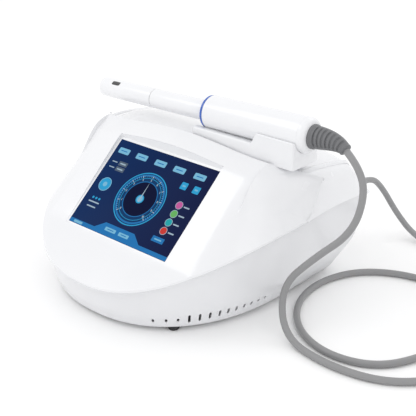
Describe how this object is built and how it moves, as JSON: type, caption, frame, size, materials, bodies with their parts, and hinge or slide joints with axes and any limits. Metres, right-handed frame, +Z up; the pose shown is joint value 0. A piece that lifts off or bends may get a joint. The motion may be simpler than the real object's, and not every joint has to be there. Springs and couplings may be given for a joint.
{
  "type": "ultrasound therapy device",
  "caption": "Tabletop ultrasound therapy console with a tilted touch screen, a cylindrical applicator resting in a cradle on top, and its hose in a loose loop beside it.",
  "frame": {"origin": "on the resting surface, under the middle of the housing's box", "axes": "+Z up, the user and the screen face -Y, +X to the user's right, where the hose leaves"},
  "size_m": [0.56, 0.4426, 0.2289],
  "materials": {
    "housing_white": "gloss",
    "tray_white": "satin gloss",
    "foot_rubber": "matte",
    "screw_steel": "satin",
    "bezel_white": "gloss",
    "screen_glass": "gloss",
    "panel_metal": "satin",
    "bracket_metal": "satin",
    "board_green": "satin",
    "supply_metal": "satin",
    "sink_metal": "satin",
    "rear_plate": "satin",
    "black_plastic": "satin",
    "rocker_black": "gloss",
    "socket_metal": "polished",
    "applicator_white": "gloss",
    "ring_blue": "gloss",
    "window_black": "gloss",
    "seal_black": "matte",
    "drive_steel": "satin",
    "brass_parts": "satin",
    "motor_black": "satin",
    "relief_grey": "matte",
    "hose_grey": "satin",
    "plug_metal": "satin"
  },
  "bodies": {
    "console": {"top_cover": "housing_white", "base_tray": "tray_white", "rubber_feet": "foot_rubber", "case_screws": "screw_steel", "screen_bezel": "bezel_white", "touch_glass": "screen_glass", "lcd_panel": "panel_metal", "display_bracket": "bracket_metal", "display_board": "board_green", "power_supply": "supply_metal", "generator_board": "board_green", "board_standoffs": "brass_parts", "heat_sink": "sink_metal", "rear_panel": "rear_plate", "power_inlet": "black_plastic", "power_switch_frame": "black_plastic", "fan_frame": "black_plastic", "applicator_socket": "socket_metal", "cable_plug": "plug_metal", "plug_grip": "relief_grey", "plug_boot": "relief_grey", "cradle": "housing_white", "cable": "hose_grey"},
    "applicator": {"handle_sleeve": "applicator_white", "handle_end_cap": "applicator_white", "blue_ring": "ring_blue", "shaft_tube": "applicator_white", "drive_motor": "motor_black", "motor_mount": "bracket_metal", "handle_board": "board_green", "strain_relief": "relief_grey"},
    "drive_line": {"motor_shaft": "drive_steel", "motor_coupling": "brass_parts", "drive_rod": "drive_steel"},
    "cartridge": {"cartridge_body": "applicator_white", "acoustic_window": "window_black", "seal_ring": "seal_black"},
    "screw": {"guide_screw": "drive_steel"},
    "transducer_unit": {"transducer_carriage": "black_plastic", "transducer": "brass_parts"},
    "fan_wheel": {"fan_rotor": "black_plastic"},
    "switch_rocker": {"power_rocker": "rocker_black"},
    "fuse_tray": {"fuse_drawer": "black_plastic"}
  },
  "joints": [
    {"name": "applicator_lift", "type": "slide", "parent": "console", "child": "applicator", "axis": [0, 0, 1], "range_m": [0, 0.05]},
    {"name": "drive_spin", "type": "hinge", "parent": "applicator", "child": "drive_line", "pos_m": [0.05198, 0.038, 0.20514], "axis": [0.9996, 0, 0.0297], "range_deg": [-720, 720]},
    {"name": "cartridge_pull", "type": "slide", "parent": "applicator", "child": "cartridge", "axis": [-0.9996, 0, -0.0297], "range_m": [0, 0.03]},
    {"name": "screw_spin", "type": "hinge", "parent": "cartridge", "child": "screw", "pos_m": [-0.09996, 0.038, 0.20063], "axis": [0.9996, 0, 0.0297], "range_deg": [-720, 720]},
    {"name": "transducer_slide", "type": "slide", "parent": "cartridge", "child": "transducer_unit", "axis": [0.9996, 0, 0.0297], "range_m": [-0.004, 0.004]},
    {"name": "fan_spin", "type": "hinge", "parent": "console", "child": "fan_wheel", "pos_m": [0.016, 0.15, 0.079], "axis": [0, 1, 0], "continuous": true},
    {"name": "rocker_tilt", "type": "hinge", "parent": "console", "child": "switch_rocker", "pos_m": [-0.048, 0.16, 0.079], "axis": [1, 0, 0], "range_deg": [-14, 0]},
    {"name": "fuse_drawer_pull", "type": "slide", "parent": "console", "child": "fuse_tray", "axis": [0, 1, 0], "range_m": [0, 0.014]}
  ],
  "couplings": [
    {"joint": "drive_spin", "follows": "transducer_slide", "rad_per_m": 3141.6},
    {"joint": "screw_spin", "follows": "transducer_slide", "rad_per_m": 3141.6}
  ]
}
